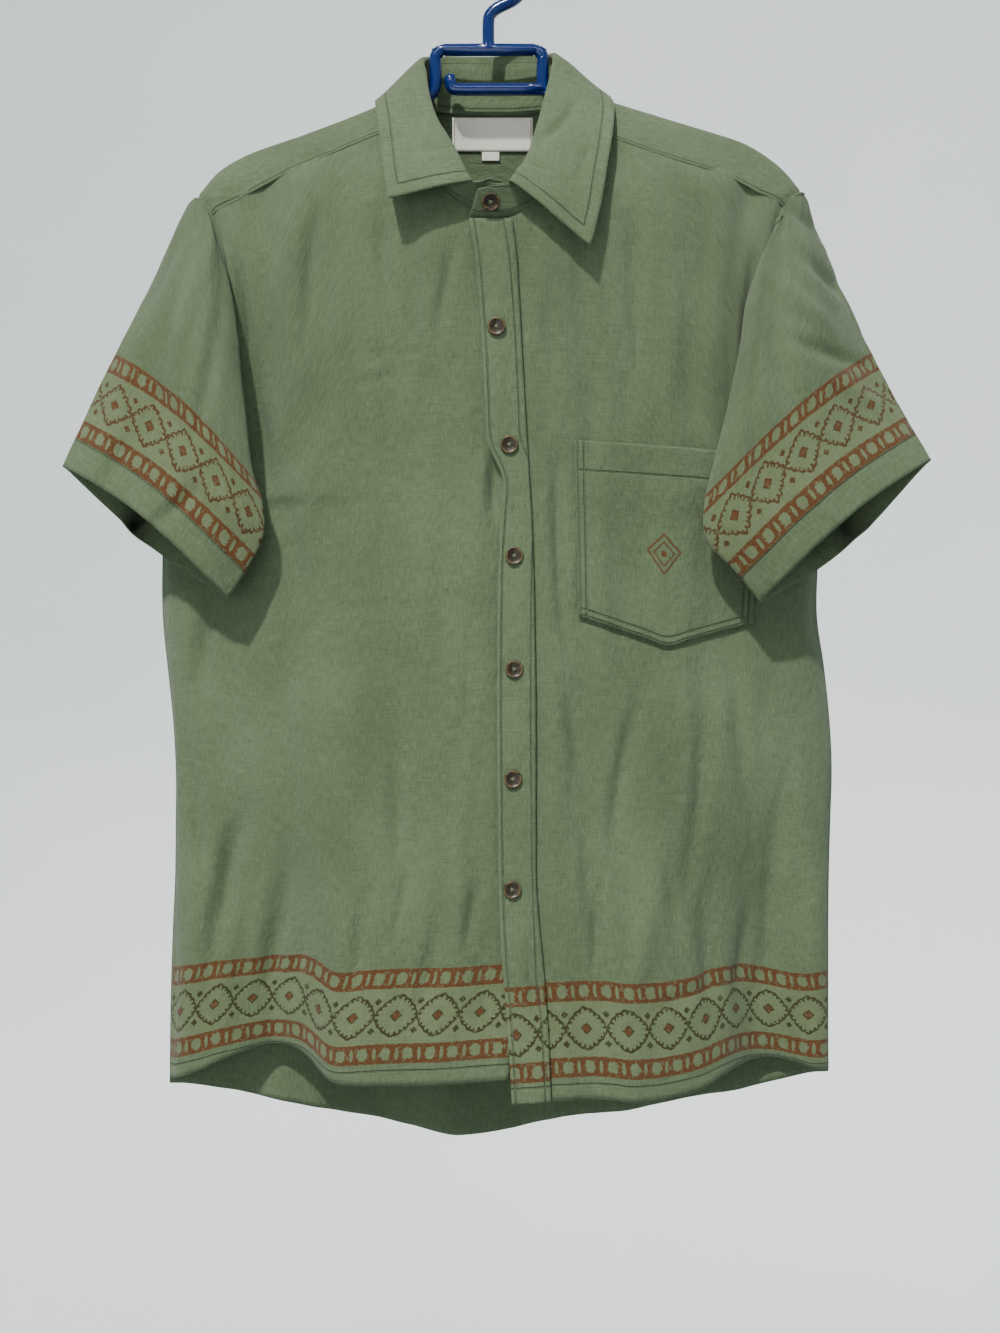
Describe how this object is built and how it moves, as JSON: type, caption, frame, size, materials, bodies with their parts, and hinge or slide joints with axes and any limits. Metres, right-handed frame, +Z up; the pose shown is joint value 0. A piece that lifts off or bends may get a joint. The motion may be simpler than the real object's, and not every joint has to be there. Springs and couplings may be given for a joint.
{
  "type": "short-sleeve shirt on a hanger",
  "caption": "Short-sleeve shirt with a turned-down collar, buttoned placket, chest pocket and printed cuff and hem bands, on a tubular plastic hanger.",
  "frame": {"origin": "inside top of the hanger's hook, where it rests on a rail", "axes": "+Z up, -Y out of the shirt's front, +X towards the wearer's left"},
  "size_m": [0.6199, 0.0966, 0.8977],
  "materials": {
    "hanger_plastic": "glossy moulded navy plastic",
    "shirt_cloth": "crinkled sage cotton weave with a rust block-print band at cuffs and hem",
    "label_tape": "plain woven cream tape",
    "button_horn": "polished dark brown horn-look resin"
  },
  "bodies": {
    "root": {"hanger": "hanger_plastic", "front_right": "shirt_cloth", "front_left": "shirt_cloth", "back": "shirt_cloth", "yoke": "shirt_cloth", "sleeve_right": "shirt_cloth", "sleeve_left": "shirt_cloth", "collar_stand": "shirt_cloth", "collar_fall": "shirt_cloth", "placket": "shirt_cloth", "pocket": "shirt_cloth", "neck_label": "label_tape", "size_tab": "label_tape", "button_1": "button_horn", "button_2": "button_horn", "button_3": "button_horn", "button_4": "button_horn", "button_5": "button_horn", "button_6": "button_horn", "button_7": "button_horn"}
  },
  "joints": []
}
